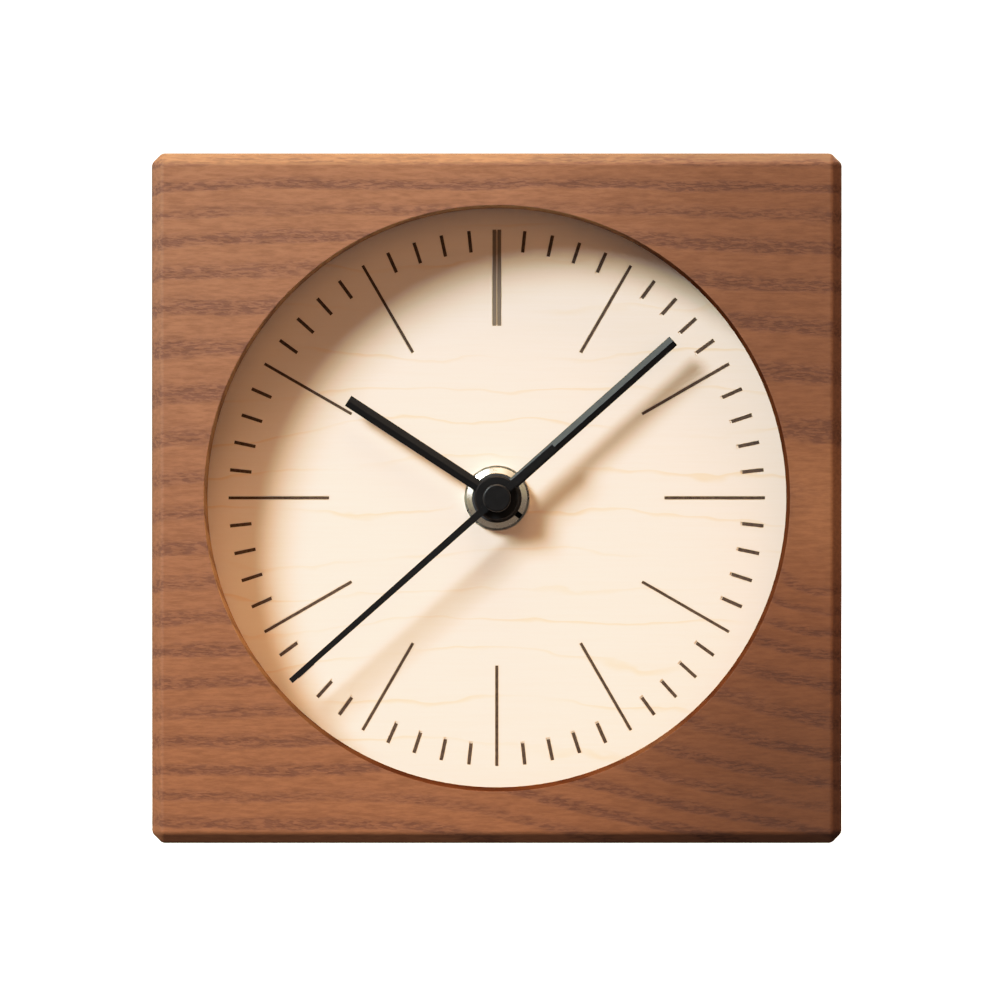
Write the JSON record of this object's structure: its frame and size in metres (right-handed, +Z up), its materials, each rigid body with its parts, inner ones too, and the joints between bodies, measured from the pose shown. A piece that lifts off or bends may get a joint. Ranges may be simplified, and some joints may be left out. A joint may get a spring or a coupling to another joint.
{
  "type": "desk clock",
  "caption": "Square wooden desk clock: a solid block bored to a deep round recess with a pale dial, slim black hands and a battery movement set by a knob behind.",
  "frame": {"origin": "middle of the base, on the surface that the clock stands on", "axes": "X to the viewer's right, -Y towards the viewer, out of the dial, +Z up"},
  "size_m": [0.108, 0.045, 0.108],
  "materials": {
    "stained_wood": "brown-stained open-pored wood with a thin satin oil",
    "maple": "pale figured maple face, matt, with burnt-in marks",
    "black_hands": "satin black lacquer",
    "nickel": "bright nickel plate",
    "rubber": "soft black rubber",
    "steel": "plain stamped steel",
    "brass": "turned brass",
    "white_wheels": "natural white moulded acetal",
    "black_plastic": "black moulded plastic with a fine spark texture",
    "magnet": "sintered magnet, dark grey",
    "copper": "enamelled copper wire",
    "board": "brown paper-phenolic board",
    "chip": "black epoxy drop",
    "cell_jacket": "plain printed jacket with bright ends"
  },
  "bodies": {
    "clock": {"case_block": "stained_wood", "dial": "maple", "stem_gasket": "rubber", "nut_washer": "nickel", "ring_nut": "nickel", "movement_case": "black_plastic", "movement_cover": "black_plastic", "train_bridge": "white_wheels", "bridge_screws": "steel", "stator_screws": "steel", "stator": "steel", "coil_core": "steel", "coil_bobbin": "white_wheels", "coil_winding": "copper", "circuit_board": "board", "quartz_crystal": "steel", "driver_chip": "chip", "positive_contact": "steel", "negative_contact": "steel"},
    "seconds": {"second_hand": "black_hands", "second_cap": "black_hands", "second_arbor": "steel", "second_wheel": "white_wheels"},
    "minutes": {"minute_hand": "black_hands", "cannon_pinion": "brass"},
    "hours": {"hour_hand": "black_hands", "hour_wheel": "white_wheels"},
    "centre": {"centre_wheel": "white_wheels"},
    "third": {"third_wheel": "white_wheels"},
    "idler": {"idler_wheel": "white_wheels"},
    "rotor": {"rotor_pinion": "white_wheels", "rotor_magnet": "magnet"},
    "motion": {"motion_wheel": "white_wheels"},
    "setting": {"setting_pinion": "white_wheels", "setting_knob": "black_plastic"},
    "battery": {"cell": "cell_jacket"}
  },
  "joints": [
    {"name": "second_hand_turn", "type": "hinge", "parent": "clock", "child": "seconds", "pos_m": [0, 0, 0.054], "axis": [0, 1, 0], "continuous": true},
    {"name": "idler_turn", "type": "hinge", "parent": "clock", "child": "idler", "pos_m": [-0.00564, 0, 0.06205], "axis": [0, 1, 0], "continuous": true},
    {"name": "rotor_turn", "type": "hinge", "parent": "clock", "child": "rotor", "pos_m": [-0.01125, 0, 0.06529], "axis": [0, 1, 0], "continuous": true},
    {"name": "third_turn", "type": "hinge", "parent": "clock", "child": "third", "pos_m": [0.00913, 0, 0.05732], "axis": [0, 1, 0], "continuous": true},
    {"name": "centre_wheel_turn", "type": "hinge", "parent": "clock", "child": "centre", "pos_m": [0, 0, 0.054], "axis": [0, 1, 0], "continuous": true},
    {"name": "minute_hand_turn", "type": "hinge", "parent": "clock", "child": "minutes", "pos_m": [0, 0, 0.054], "axis": [0, 1, 0], "continuous": true},
    {"name": "motion_turn", "type": "hinge", "parent": "clock", "child": "motion", "pos_m": [-0.00706, 0, 0.05143], "axis": [0, 1, 0], "continuous": true},
    {"name": "hour_hand_turn", "type": "hinge", "parent": "clock", "child": "hours", "pos_m": [0, 0, 0.054], "axis": [0, 1, 0], "continuous": true},
    {"name": "setting_knob_turn", "type": "hinge", "parent": "clock", "child": "setting", "pos_m": [-0.01456, 0, 0.05143], "axis": [0, 1, 0], "continuous": true},
    {"name": "battery_slide", "type": "slide", "parent": "clock", "child": "battery", "axis": [0, 1, 0], "range_m": [0, 0.03]}
  ],
  "couplings": [
    {"joint": "idler_turn", "follows": "second_hand_turn", "ratio": -6},
    {"joint": "rotor_turn", "follows": "second_hand_turn", "ratio": 30},
    {"joint": "third_turn", "follows": "second_hand_turn", "ratio": -0.13333},
    {"joint": "centre_wheel_turn", "follows": "second_hand_turn", "ratio": 0.016667},
    {"joint": "motion_turn", "follows": "minute_hand_turn", "ratio": -0.33333},
    {"joint": "hour_hand_turn", "follows": "minute_hand_turn", "ratio": 0.083333},
    {"joint": "setting_knob_turn", "follows": "minute_hand_turn", "ratio": 1}
  ]
}
